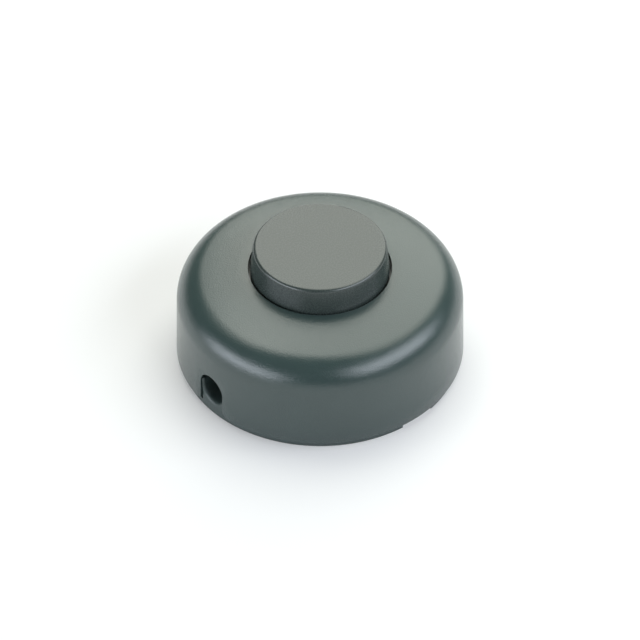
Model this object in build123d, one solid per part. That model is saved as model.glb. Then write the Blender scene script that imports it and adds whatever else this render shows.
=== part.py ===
from build123d import *
import os
from math import cos, radians, sin, sqrt, tan

# Inline foot switch for a lamp cord, in millimetres.
# Origin: centre of the footprint, on the floor. +Z is up. The cord runs along X.

# Outside of the housing
body_radius = 30.0
wall_draft = 2.6
foot_proud = 0.2
rim_z = 1.65
cover_height = 20.65
crown_radius = 130.0
shoulder_radius = 6.8
wall = 2.2

# Push button
button_hole_radius = 14.65
button_gap = 0.5
button_proud = 5.5
button_taper = 0.65
button_edge_radius = 0.7
button_wall = 1.8
button_roof = 2.2
button_travel = 3.5
flange_step = 2.15
flange_height = 2.0
flange_stop_gap = 0.3
guide_gap = 0.2
collar_wall = 1.4
collar_below_flange = 0.1
key_width = 2.0
key_depth = 0.9
key_gap = 0.2

# Cord entries, one at each end of the X axis
cord_z = 6.9
arch_radius = 3.35
arch_corner_width = 1.2
arch_corner_height = 1.05
cradle_radius = 2.95
cradle_drop = 0.65
mouth_radius = 0.85
horn_height = 0.6
tab_gap = 0.1
tab_depth = 4.75

# Base plate
flange_inset = 0.55
flange_chamfer = 0.15
floor_thickness = 2.4
spigot_gap = 0.15
spigot_wall = 1.6
spigot_height = 3.35
pry_slot_width = 8.0
pry_slot_depth = 1.2

# Screws that hold the cover, driven from below
case_screw_y = 23.5
case_screw_radius = 1.5
case_screw_length = 12.0
case_head_radius = 2.6
case_head_height = 1.6
case_head_sunk = 0.6
case_head_bevel = 0.5
case_slot_depth = 1.05
case_slot_reach = 1.55
head_gap = 0.3
thread_gap = 0.05
boss_wall = 1.85
boss_rib_width = 1.1
base_boss_wall = 2.35
base_boss_height = 2.6

# Rubber feet
foot_count = 4
foot_circle_radius = 22.5
foot_radius = 3.0
foot_height = 1.2
foot_gap = 0.05

# Post, rotor and ratchet
post_radius = 2.5
post_pin_radius = 1.6
post_pin_length = 4.0
thrust_boss_radius = 4.2
thrust_boss_height = 3.8
running_gap = 0.05
thrust_gap = 0.1
hub_radius = 4.5
hub_height = 6.3
disc_rim = 0.2
disc_thickness = 1.5
tooth_count = 8
tooth_inner_radius = 6.8
tooth_outer_radius = 9.3
tooth_rise_per_degree = 0.1
tooth_root = 0.15
pawl_count = 4
pawl_inset = 0.2
pawl_span = 8.0
pawl_tip_offset = 0.5
pawl_gap = 0.15
pawl_root = 2.0
ramp_step_angle = 9

# Plunger in the button
carrier_rim = 0.9
carrier_disc_height = 2.0
carrier_clearance = 0.4
socket_gap = 0.1
socket_wall = 1.2
socket_height = 3.0
spring_peg_radius = 2.1
spring_peg_length = 1.2

# Return spring and its washer
washer_radius = 3.6
washer_thickness = 0.6
washer_gap = 0.05
rotor_play = 0.2
spring_radius = 2.8
spring_wire = 0.5
spring_turns = 7
spring_wire_sides = 8

# Contact star, leaf springs and tips, all on one line through the post
contact_angle = 157.5
star_ring_inner = 4.7
star_ring_outer = 6.6
star_arm_inset = 0.3
star_arm_width = 3.4
star_thickness = 0.5
rivet_circle_radius = 5.65
rivet_radius = 0.45
rivet_head_radius = 0.85
rivet_head_height = 0.4
rivet_gap = 0.03
leaf_thickness = 0.4
leaf_width = 4.0
leaf_inner_radius = 6.9
leaf_bend_radius = 9.6
leaf_flat_radius = 12.0
leaf_lift = 0.5
tip_circle_radius = 8.1
tip_radius = 1.1
tip_shank_radius = 0.6
tip_head_height = 0.5
tip_bevel = 0.3
tip_foot_height = 0.3
contact_gap = 0.15

# Terminals of the switched core
terminal_inner_radius = 12.7
terminal_size = 6.0
terminal_height = 6.5
terminal_seat_height = 1.8
cheek_wall = 1.2
cheek_height = 5.0
cheek_length = 4.0
cheek_gap = 0.1
wire_hole_radius = 1.3
wire_hole_above_floor = 2.0
wire_hole_depth = 4.5
terminal_screw_radius = 1.45
terminal_head_radius = 2.3
terminal_head_height = 1.6
terminal_screw_length = 3.6
screw_slot_width = 0.7
screw_slot_depth = 0.7

# Terminal of the other core, a through block beside the mechanism
neutral_y = 15.5
neutral_length = 13.0
neutral_width = 5.6
neutral_height = 6.0
neutral_seat_height = 1.0
neutral_screw_pitch = 7.0

# Cord clamps
clamp_tab_gap = 0.9
clamp_width = 4.4
clamp_length = 16.0
clamp_roof = 1.5
clamp_corner_radius = 1.6
clamp_post_radius = 2.2
clamp_post_height = 4.6
clamp_screw_edge = 2.1
clamp_screw_radius = 1.25
clamp_screw_length = 6.5
clamp_head_radius = 2.1
clamp_head_height = 1.5
grip_rib_width = 0.8
grip_rib_pitch = 2.2
grip_rib_length = 5.6
grip_rib_drop = 1.525

# Levels and radii that follow from the sizes above
flange_radius = body_radius - flange_inset
underside_z = foot_proud
floor_z = underside_z + floor_thickness
cover_top_z = rim_z + cover_height
crown_centre_z = cover_top_z - sqrt(crown_radius**2 - button_hole_radius**2)
ceiling_z = cover_top_z - wall
button_radius = button_hole_radius - button_gap
button_top_z = cover_top_z + button_proud
button_roof_z = button_top_z - button_roof
button_flange_radius = button_radius + flange_step
button_flange_top_z = ceiling_z - flange_stop_gap
button_bottom_z = button_flange_top_z - flange_height
collar_radius = button_flange_radius + guide_gap
collar_bottom_z = button_bottom_z - button_travel - collar_below_flange
spigot_radius = body_radius - wall - spigot_gap - (spigot_height + rim_z) * tan(radians(wall_draft))
spigot_top_z = rim_z + spigot_height
tab_inner_x = flange_radius - tab_depth
clamp_x = tab_inner_x - clamp_tab_gap - clamp_width / 2
clamp_screw_y = clamp_length / 2 - clamp_screw_edge
base_boss_top_z = floor_z + base_boss_height
case_head_low_z = underside_z + case_head_sunk
case_head_top_z = case_head_low_z + case_head_height
disc_radius = tooth_outer_radius + disc_rim
star_arm_radius = disc_radius - star_arm_inset
star_low_z = floor_z + thrust_boss_height + thrust_gap - star_thickness
disc_low_z = star_low_z + star_thickness
disc_top_z = disc_low_z + disc_thickness
hub_top_z = disc_low_z + hub_height
tooth_pitch = 360 / tooth_count
tooth_rise = tooth_rise_per_degree * tooth_pitch
tooth_tip_z = disc_top_z + tooth_root + tooth_rise
washer_low_z = hub_top_z + rotor_play
washer_top_z = washer_low_z + washer_thickness
pawl_end_angle = tooth_pitch - pawl_tip_offset
pawl_start_angle = pawl_end_angle - pawl_span
pawl_inner_radius = tooth_inner_radius + pawl_inset
pawl_outer_radius = tooth_outer_radius - pawl_inset
carrier_disc_radius = pawl_outer_radius + carrier_rim
carrier_disc_low_z = button_roof_z - carrier_disc_height
carrier_tube_low_z = tooth_tip_z + button_travel + carrier_clearance
leaf_top_z = star_low_z - contact_gap - tip_head_height
leaf_low_z = leaf_top_z - leaf_thickness
leaf_seat_z = leaf_low_z - leaf_lift
terminal_mid_radius = terminal_inner_radius + terminal_size / 2
terminal_low_z = leaf_seat_z + leaf_thickness
terminal_top_z = terminal_low_z + terminal_height
neutral_low_z = floor_z + neutral_seat_height
neutral_top_z = neutral_low_z + neutral_height
clamp_low_z = floor_z + clamp_post_height
clamp_top_z = cord_z + cradle_radius + clamp_roof
foot_start_angle = 180 / foot_count
through = body_radius

low = (Align.CENTER, Align.CENTER, Align.MIN)


def rod(radius, low_z, high_z):
    """Upright cylinder between two levels."""
    return Pos(0, 0, low_z) * Cylinder(radius, high_z - low_z, align=low)


def tube(outer, inner, low_z, high_z):
    """Upright tube between two levels."""
    return rod(outer, low_z, high_z) - rod(inner, low_z, high_z)


def block(x_low, x_high, y_low, y_high, z_low, z_high):
    """Box between two corners."""
    size = Box(x_high - x_low, y_high - y_low, z_high - z_low, align=Align.MIN)
    return Pos(x_low, y_low, z_low) * size


def polar(shape, count, start=0.0):
    """Copies of a shape turned about Z in equal steps."""
    return [Rot(0, 0, start + 360 / count * i) * shape for i in range(count)]


def cord_bore(radius, centre_z, x_low, x_high):
    """Cylinder along the cord, between two places on X."""
    centre = Pos((x_low + x_high) / 2, 0, centre_z) * Rot(0, 90, 0)
    return centre * Cylinder(radius, x_high - x_low)


def skin_body(inset, low_z):
    """Solid inside the housing's outside skin, drawn in by the inset."""
    slope = tan(radians(wall_draft))
    high_z = crown_centre_z + crown_radius
    foot_radius_at_low = body_radius - inset - (low_z - rim_z) * slope
    head_radius = body_radius - inset - (high_z - rim_z) * slope
    corners = [(0, low_z), (foot_radius_at_low, low_z), (head_radius, high_z), (0, high_z)]
    wedge = make_face(Polyline(*corners, close=True))
    section = wedge & Pos(0, crown_centre_z) * Circle(crown_radius - inset)
    corner = section.vertices().sort_by(Axis.X)[-2]
    return revolve(Plane.XZ * fillet(corner, shoulder_radius - inset), Axis.Z)


def helical_wedge(inner, outer, start, end, flat_z, start_z, end_z):
    """Ring sector with one flat face and one that climbs evenly with the angle."""
    steps = max(1, round((end - start) / ramp_step_angle))
    sections = []
    for i in range(steps + 1):
        share = i / steps
        angle = radians(start + (end - start) * share)
        slope_z = start_z + (end_z - start_z) * share
        radial = Plane((0, 0, 0), x_dir=(cos(angle), sin(angle), 0), z_dir=(sin(angle), -cos(angle), 0))
        outline = Polyline((inner, flat_z), (outer, flat_z), (outer, slope_z), (inner, slope_z), close=True)
        sections.append(radial * make_face(outline))
    return loft(sections, ruled=True)


def arch_block(radius, low_z, x_low, x_high):
    """Upright block along the cord, with a round head centred on it."""
    sides = Polyline((-radius, cord_z), (-radius, low_z), (radius, low_z), (radius, cord_z))
    head = ThreePointArc((radius, cord_z), (0, cord_z + radius), (-radius, cord_z))
    face = Plane.YZ * make_face(sides + head)
    return Pos(x_low, 0, 0) * extrude(face, x_high - x_low, dir=(1, 0, 0))


def arch_cutter():
    """Cord notch in the cover's wall, with its lower corners cut away."""
    x_low = body_radius - 2 * wall
    x_high = body_radius + wall
    corner_z = rim_z + arch_corner_height
    foot = arch_radius + arch_corner_width
    corners = [(-foot, rim_z), (foot, rim_z), (arch_radius, corner_z), (-arch_radius, corner_z)]
    splay = Plane.YZ * make_face(Polyline(*corners, close=True))
    return arch_block(arch_radius, underside_z, x_low, x_high) + Pos(x_low, 0, 0) * extrude(
        splay, x_high - x_low, dir=(1, 0, 0)
    )


def cradle_cutter():
    """Channel for the cord at the +X end: round below, open above, with a rounded mouth."""
    x_low = tab_inner_x - spigot_wall
    mouth_x = flange_radius - mouth_radius
    mouth_side = cradle_radius + mouth_radius
    run = Polyline((x_low, 0), (x_low, -cradle_radius), (mouth_x, -cradle_radius))
    mouth = TangentArc((mouth_x, -cradle_radius), (flange_radius, -mouth_side), tangent=(1, 0))
    end = Polyline((flange_radius, -mouth_side), (body_radius, -mouth_side), (body_radius, 0), (x_low, 0))
    half = make_face(run + mouth + end)
    bottom = revolve(half, Axis.X, 180)
    channel = extrude(half + mirror(half, Plane.XZ), cord_z, dir=(0, 0, 1))
    return Pos(0, 0, cord_z - cradle_drop) * (bottom + channel)


def make_cover():
    """Upper shell with the button's guide collar and two screw bosses."""
    outside = skin_body(0, rim_z)
    cavity = skin_body(wall, rim_z - wall)
    collar = tube(collar_radius + collar_wall, collar_radius, collar_bottom_z, cover_top_z)
    key = block(
        collar_radius - key_depth, collar_radius + collar_wall / 2,
        -key_width / 2, key_width / 2,
        collar_bottom_z, cover_top_z,
    )
    boss_radius = case_screw_radius + boss_wall
    boss = Pos(0, case_screw_y, 0) * rod(boss_radius, base_boss_top_z, cover_top_z)
    half = boss_rib_width / 2
    rib = block(-half, half, case_screw_y, body_radius, base_boss_top_z, cover_top_z)
    inner = collar + polar(key, 2) + polar(boss, 2) + polar(rib, 2)
    pilot_top_z = case_head_top_z + case_screw_length + case_screw_radius
    pilot = Pos(0, case_screw_y, 0) * rod(case_screw_radius + thread_gap, base_boss_top_z, pilot_top_z)
    cover = (outside - cavity) + (inner & outside)
    cover -= rod(button_hole_radius, ceiling_z - wall, button_top_z)
    cover -= polar(pilot, 2)
    cover -= polar(arch_cutter(), 2)
    return cover


def make_base():
    """Lower plate with spigot, cord cradles, post, terminal seats and clamp posts."""
    flange = chamfer(
        rod(flange_radius, underside_z, rim_z).edges().group_by(Axis.Z)[0], flange_chamfer
    )
    floor = rod(spigot_radius, rim_z, floor_z)
    spigot = tube(spigot_radius, spigot_radius - spigot_wall, floor_z, spigot_top_z)
    boss_radius = case_screw_radius + base_boss_wall
    boss = Pos(0, case_screw_y, 0) * rod(boss_radius, floor_z, base_boss_top_z)
    tab = arch_block(arch_radius - tab_gap, rim_z, tab_inner_x, body_radius)
    tab &= rod(flange_radius, rim_z, cord_z + horn_height)
    post = rod(thrust_boss_radius, floor_z, floor_z + thrust_boss_height)
    post += rod(post_radius, floor_z, washer_low_z)
    post += rod(post_pin_radius, washer_low_z, washer_top_z + post_pin_length)
    base = flange + floor + spigot + polar(boss, 2) + polar(tab, 2) + post
    base += polar(terminal_seat(), 2, contact_angle)
    base += neutral_seat()
    base += polar(clamp_seat(), 2)
    base -= polar(cradle_cutter(), 2)
    base -= polar(Pos(0, case_screw_y, 0) * case_screw_hole(), 2)
    foot_hole = Pos(foot_circle_radius, 0, 0) * rod(foot_radius + foot_gap, 0, foot_height)
    base -= polar(foot_hole, foot_count, foot_start_angle)
    pry_slot = block(
        -pry_slot_width / 2, pry_slot_width / 2,
        flange_radius - pry_slot_depth, body_radius,
        underside_z, rim_z,
    )
    base -= polar(pry_slot, 2)
    return base


def case_screw_hole():
    """Through hole and head recess for one case screw, on the Z axis."""
    shank = rod(case_screw_radius + thread_gap, underside_z, base_boss_top_z)
    head = rod(case_head_radius + head_gap, underside_z, case_head_top_z)
    return shank + head


def terminal_seat():
    """Pedestal and cheeks that hold one terminal on its leaf spring, along +X."""
    inner = terminal_inner_radius
    outer = terminal_inner_radius + terminal_size
    side = terminal_size / 2 + cheek_gap
    seat = block(inner, outer, -side - cheek_wall, side + cheek_wall, floor_z, leaf_seat_z)
    cheek_top_z = leaf_seat_z + cheek_height
    cheek_low = terminal_mid_radius - cheek_length / 2
    cheek_high = terminal_mid_radius + cheek_length / 2
    for sign in (-1, 1):
        centre = sign * (side + cheek_wall / 2)
        cheek = block(
            cheek_low, cheek_high,
            centre - cheek_wall / 2, centre + cheek_wall / 2,
            floor_z, cheek_top_z,
        )
        seat += cheek
    return seat


def neutral_seat():
    """Pedestal with end stops for the through block."""
    half = neutral_length / 2
    y_low = neutral_y - neutral_width / 2
    y_high = neutral_y + neutral_width / 2
    seat = block(-half, half, y_low, y_high, floor_z, neutral_low_z)
    stop_top_z = neutral_low_z + neutral_seat_height
    for y_edge in (y_low - cheek_wall - cheek_gap, y_high + cheek_gap):
        seat += block(-half, half, y_edge, y_edge + cheek_wall, floor_z, stop_top_z)
    return seat


def clamp_seat():
    """Two screw posts and two grip ribs under one cord clamp."""
    seat = None
    for sign in (-1, 1):
        post = Pos(clamp_x, sign * clamp_screw_y, 0) * rod(clamp_post_radius, floor_z, clamp_low_z)
        seat = post if seat is None else seat + post
        rib_x = clamp_x + sign * grip_rib_pitch / 2
        seat += block(
            rib_x - grip_rib_width / 2, rib_x + grip_rib_width / 2,
            -grip_rib_length / 2, grip_rib_length / 2,
            floor_z, cord_z - grip_rib_drop,
        )
    for sign in (-1, 1):
        hole_low_z = clamp_top_z - clamp_screw_length - clamp_screw_radius
        hole = rod(clamp_screw_radius + thread_gap, hole_low_z, clamp_low_z)
        seat -= Pos(clamp_x, sign * clamp_screw_y, 0) * hole
    return seat


def make_button():
    """Hollow cap with a tapered side, a stop flange and a socket for the plunger."""
    neck = rod(button_radius, button_bottom_z, cover_top_z)
    cap = Pos(0, 0, cover_top_z) * Cone(
        button_radius, button_radius - button_taper, button_proud, align=low
    )
    cap = fillet(cap.edges().group_by(Axis.Z)[-1], button_edge_radius)
    flange = rod(button_flange_radius, button_bottom_z, button_flange_top_z)
    hollow = rod(button_radius - button_taper - button_wall, button_bottom_z, button_roof_z)
    button = neck + cap + flange - hollow
    socket_inner = carrier_disc_radius + socket_gap
    button += tube(socket_inner + socket_wall, socket_inner, button_roof_z - socket_height, button_roof_z)
    key_slot = block(
        collar_radius - key_depth - key_gap, body_radius,
        -key_width / 2 - key_gap, key_width / 2 + key_gap,
        button_bottom_z, button_flange_top_z,
    )
    button -= polar(key_slot, 2)
    button -= polar(carrier_key(key_gap), 2, 90)
    return button


def carrier_key(grow):
    """Key on the plunger's disc, or its slot when grown."""
    half = key_width / 2 + grow
    reach = carrier_disc_radius + socket_gap + socket_wall
    return block(
        carrier_disc_radius - key_width, reach,
        -half, half,
        carrier_disc_low_z - grow, button_roof_z,
    )


def make_pawl_carrier():
    """Plunger: disc in the button's socket, tube, and pawls that ride on the ramps."""
    carrier = rod(carrier_disc_radius, carrier_disc_low_z, button_roof_z)
    carrier += tube(pawl_outer_radius, pawl_inner_radius, carrier_tube_low_z, carrier_disc_low_z)
    carrier += rod(spring_peg_radius, carrier_disc_low_z - spring_peg_length, carrier_disc_low_z)
    carrier += polar(carrier_key(0), 2, 90)
    ramp_z = disc_top_z + tooth_root + pawl_gap
    pawl = helical_wedge(
        pawl_inner_radius, pawl_outer_radius,
        pawl_start_angle, pawl_end_angle,
        carrier_tube_low_z + pawl_root,
        ramp_z + pawl_start_angle * tooth_rise_per_degree,
        ramp_z + pawl_end_angle * tooth_rise_per_degree,
    )
    carrier += polar(pawl, pawl_count)
    return carrier


def make_rotor():
    """Ratchet wheel: disc, hub and a ring of helical ramps."""
    rotor = rod(disc_radius, disc_low_z, disc_top_z) + rod(hub_radius, disc_low_z, hub_top_z)
    tooth = helical_wedge(
        tooth_inner_radius, tooth_outer_radius,
        0, tooth_pitch,
        disc_low_z + disc_thickness / 2,
        disc_top_z + tooth_root,
        tooth_tip_z,
    )
    rotor += polar(tooth, tooth_count)
    rotor -= rod(post_radius + running_gap, disc_low_z, hub_top_z)
    hole = Pos(rivet_circle_radius, 0, 0) * rod(rivet_radius + rivet_gap, disc_low_z, disc_top_z)
    rotor -= polar(hole, pawl_count, contact_angle + tooth_pitch)
    return rotor


def make_contact_star():
    """Four-armed bridge under the rotor, with rivet holes between the arms."""
    star = rod(star_ring_outer, star_low_z, disc_low_z)
    arm = block(0, star_arm_radius, -star_arm_width / 2, star_arm_width / 2, star_low_z, disc_low_z)
    star += polar(arm, pawl_count, contact_angle)
    star -= rod(star_ring_inner, star_low_z, disc_low_z)
    hole = Pos(rivet_circle_radius, 0, 0) * rod(rivet_radius + rivet_gap, star_low_z, disc_low_z)
    star -= polar(hole, pawl_count, contact_angle + tooth_pitch)
    return star


def make_star_rivets():
    """Rivets that hold the star to the rotor."""
    low_z = star_low_z - rivet_head_height
    high_z = disc_top_z + rivet_head_height
    rivet = rod(rivet_radius, low_z, high_z)
    rivet += rod(rivet_head_radius, low_z, star_low_z)
    rivet += rod(rivet_head_radius, disc_top_z, high_z)
    return group(polar(Pos(rivet_circle_radius, 0, 0) * rivet, pawl_count, contact_angle + tooth_pitch))


def leaf_spring():
    """Leaf spring along +X: flat under the terminal, raised under the star."""
    outer = terminal_inner_radius + terminal_size
    points = [
        (leaf_inner_radius, leaf_low_z),
        (leaf_bend_radius, leaf_low_z),
        (leaf_flat_radius, leaf_seat_z),
        (outer, leaf_seat_z),
        (outer, leaf_seat_z + leaf_thickness),
        (leaf_flat_radius, leaf_seat_z + leaf_thickness),
        (leaf_bend_radius, leaf_top_z),
        (leaf_inner_radius, leaf_top_z),
    ]
    side = Plane.XZ * make_face(Polyline(*points, close=True))
    leaf = extrude(side, leaf_width / 2, both=True)
    hole = Pos(tip_circle_radius, 0, 0) * rod(tip_shank_radius + rivet_gap, leaf_low_z, leaf_top_z)
    return leaf - hole


def make_contact_tips():
    """Bevelled contact rivets on the leaf springs."""
    low_z = leaf_low_z - tip_foot_height
    tip = rod(tip_shank_radius, low_z, leaf_top_z) + rod(tip_radius, low_z, leaf_low_z)
    head = rod(tip_radius, leaf_top_z, leaf_top_z + tip_head_height)
    tip += chamfer(head.edges().group_by(Axis.Z)[-1], tip_bevel)
    return group(polar(Pos(tip_circle_radius, 0, 0) * tip, 2, contact_angle))


def terminal_block():
    """Brass terminal along +X, with a wire hole from outside and a screw hole from above."""
    half = terminal_size / 2
    outer = terminal_inner_radius + terminal_size
    body = block(terminal_inner_radius, outer, -half, half, terminal_low_z, terminal_top_z)
    wire_z = terminal_low_z + wire_hole_above_floor
    wire_hole = cord_bore(wire_hole_radius, wire_z, outer - wire_hole_depth, outer)
    return body - wire_hole - Pos(terminal_mid_radius, 0, 0) * screw_hole(terminal_top_z)


def screw_hole(top_z):
    """Hole for one terminal screw, down from the top of a terminal."""
    return rod(terminal_screw_radius + thread_gap, top_z - terminal_screw_length - thread_gap, top_z)


def make_neutral_terminal():
    """Through block that joins the two cords' other cores."""
    half = neutral_length / 2
    body = block(
        -half, half,
        neutral_y - neutral_width / 2, neutral_y + neutral_width / 2,
        neutral_low_z, neutral_top_z,
    )
    wire_z = neutral_low_z + wire_hole_above_floor
    body -= Pos(0, neutral_y, 0) * cord_bore(wire_hole_radius, wire_z, -half, half)
    for sign in (-1, 1):
        body -= Pos(sign * neutral_screw_pitch / 2, neutral_y, 0) * screw_hole(neutral_top_z)
    return body


def slotted_screw(radius, length, head_radius, head_height, top_z):
    """Screw with a slotted head that sits on the level given, shank down."""
    screw = rod(radius, top_z - length, top_z) + rod(head_radius, top_z, top_z + head_height)
    slot_z = top_z + head_height - screw_slot_depth
    half = screw_slot_width / 2
    return screw - block(-head_radius, head_radius, -half, half, slot_z, top_z + head_height)


def make_terminal_screws():
    """Screws of the three terminals."""
    sizes = (terminal_screw_radius, terminal_screw_length, terminal_head_radius, terminal_head_height)
    live = Pos(terminal_mid_radius, 0, 0) * slotted_screw(*sizes, terminal_top_z)
    screws = polar(live, 2, contact_angle)
    neutral = slotted_screw(*sizes, neutral_top_z)
    for sign in (-1, 1):
        screws.append(Pos(sign * neutral_screw_pitch / 2, neutral_y, 0) * neutral)
    return group(screws)


def cord_clamp():
    """Clamp bar over the cord, at the +X end."""
    bar = block(
        clamp_x - clamp_width / 2, clamp_x + clamp_width / 2,
        -clamp_length / 2, clamp_length / 2,
        clamp_low_z, clamp_top_z,
    )
    bar = fillet(bar.edges().filter_by(Axis.Z), clamp_corner_radius)
    bar -= cord_bore(cradle_radius, cord_z, 0, through)
    for sign in (-1, 1):
        hole = rod(clamp_screw_radius + thread_gap, clamp_low_z, clamp_top_z)
        bar -= Pos(clamp_x, sign * clamp_screw_y, 0) * hole
    return bar


def make_clamp_screws():
    """Two screws in each cord clamp."""
    screw = slotted_screw(
        clamp_screw_radius, clamp_screw_length, clamp_head_radius, clamp_head_height, clamp_top_z
    )
    screws = []
    for sign in (-1, 1):
        screws += polar(Pos(clamp_x, sign * clamp_screw_y, 0) * screw, 2)
    return group(screws)


def make_case_screws():
    """Screws up through the base into the cover's bosses, with crossed slots."""
    screw = rod(case_head_radius, case_head_low_z, case_head_top_z)
    screw = chamfer(screw.edges().group_by(Axis.Z)[0], case_head_bevel)
    screw += rod(case_screw_radius, case_head_top_z, case_head_top_z + case_screw_length)
    slot_top_z = case_head_low_z + case_slot_depth
    half = screw_slot_width / 2
    reach = case_slot_reach
    cross = block(-reach, reach, -half, half, case_head_low_z, slot_top_z)
    cross += block(-half, half, -reach, reach, case_head_low_z, slot_top_z)
    screw -= cross
    return group(polar(Pos(0, case_screw_y, 0) * screw, 2))


def make_return_spring():
    """Coil spring from the washer to the plunger's disc, its wire drawn with flat sides."""
    wire_radius = spring_wire / 2
    height = carrier_disc_low_z - washer_top_z - spring_wire
    path = Pos(0, 0, washer_top_z + wire_radius) * Helix(height / spring_turns, height, spring_radius)
    section = Plane(path @ 0, z_dir=path % 0) * RegularPolygon(wire_radius, spring_wire_sides)
    return sweep(section, path=path)


def group(shapes):
    """Separate solids kept together in one node."""
    return Compound([solid for shape in shapes for solid in shape.solids()])


def build_nodes():
    """Every node of the switch, by name."""
    nodes = {
        "cover": make_cover(),
        "base": make_base(),
        "button": make_button(),
        "pawl_carrier": make_pawl_carrier(),
        "return_spring": make_return_spring(),
        "spring_washer": tube(washer_radius, post_pin_radius + washer_gap, washer_low_z, washer_top_z),
        "rotor": make_rotor(),
        "contact_star": make_contact_star(),
        "star_rivets": make_star_rivets(),
        "contact_tips": make_contact_tips(),
        "neutral_terminal": make_neutral_terminal(),
        "terminal_screws": make_terminal_screws(),
        "clamp_screws": make_clamp_screws(),
        "case_screws": make_case_screws(),
    }
    for side, turn in (("in", 0), ("out", 180)):
        nodes["contact_spring_" + side] = Rot(0, 0, contact_angle + turn) * leaf_spring()
        nodes["terminal_" + side] = Rot(0, 0, contact_angle + turn) * terminal_block()
        nodes["cord_clamp_" + side] = Rot(0, 0, 180 + turn) * cord_clamp()
    foot = Pos(foot_circle_radius, 0, 0) * rod(foot_radius, 0, foot_height)
    for number, shape in enumerate(polar(foot, foot_count, foot_start_angle), start=1):
        nodes[f"foot_pad_{number}"] = shape
    return nodes


os.makedirs("parts", exist_ok=True)
for name, shape in build_nodes().items():
    export_step(shape, f"parts/{name}.step")
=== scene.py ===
"""Looks of a round inline foot switch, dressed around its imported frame.

Every length is in metres and every piece is built in the frame's own axes: +Z up, the cord along X.
"""

import logging
import math
from abc import ABC, abstractmethod
from dataclasses import dataclass
from enum import Enum
from functools import cache
from typing import Any, Mapping, Sequence

import bmesh
import bpy
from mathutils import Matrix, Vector


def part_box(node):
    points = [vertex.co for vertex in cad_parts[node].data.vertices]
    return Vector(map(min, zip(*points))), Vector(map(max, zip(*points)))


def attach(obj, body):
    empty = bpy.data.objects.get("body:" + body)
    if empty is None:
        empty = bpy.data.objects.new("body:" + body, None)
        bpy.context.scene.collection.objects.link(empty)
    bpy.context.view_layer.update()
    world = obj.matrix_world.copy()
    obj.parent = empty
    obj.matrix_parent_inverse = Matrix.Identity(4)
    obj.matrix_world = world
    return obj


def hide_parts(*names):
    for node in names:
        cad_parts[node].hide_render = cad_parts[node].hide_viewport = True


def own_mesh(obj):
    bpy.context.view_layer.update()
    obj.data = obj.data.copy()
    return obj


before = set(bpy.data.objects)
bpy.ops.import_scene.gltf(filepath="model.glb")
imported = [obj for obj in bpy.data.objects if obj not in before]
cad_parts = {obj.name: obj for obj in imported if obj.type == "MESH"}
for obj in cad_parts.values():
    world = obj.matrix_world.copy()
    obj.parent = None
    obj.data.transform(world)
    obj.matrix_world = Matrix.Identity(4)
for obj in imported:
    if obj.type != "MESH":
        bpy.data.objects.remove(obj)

MM = 0.001

# Points closer than this become one, in new meshes and in the CAD's loose triangles.
JOIN_DISTANCE = 0.001 * MM
WELD_DISTANCE = 0.002 * MM

# Steps round and along each kind of piece.
THREAD_SIDES = 20
ROWS_PER_PITCH = 6
HEAD_SIDES = 40
HEAD_ROWS = 15
COIL_STEPS = 36
WIRE_SIDES = 12
LATHE_STEPS = 56
SOFT_EDGE_STEPS = 3
FLOOR_SIDES = 96

# Angles in degrees from which an edge stays sharp.
SCREW_SHARP_FROM = 32
COIL_SHARP_FROM = 50
SOLID_SHARP_FROM = 35

# Shares of a rolled sheet's run, of a screw head's height and of the spring's wire.
END_SHARE = 0.0001
HEAD_ROUNDNESS = 0.25
SHANK_OVERLAP = 0.3
GROUND_SHARE = 0.25

Colour = tuple[float, float, float]
Stretch = tuple[float, float, float]
Settings = Mapping[str, Any]
Sockets = Mapping[str | int, Any]
Socket = bpy.types.NodeSocket
log = logging.getLogger("foot_switch")


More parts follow.
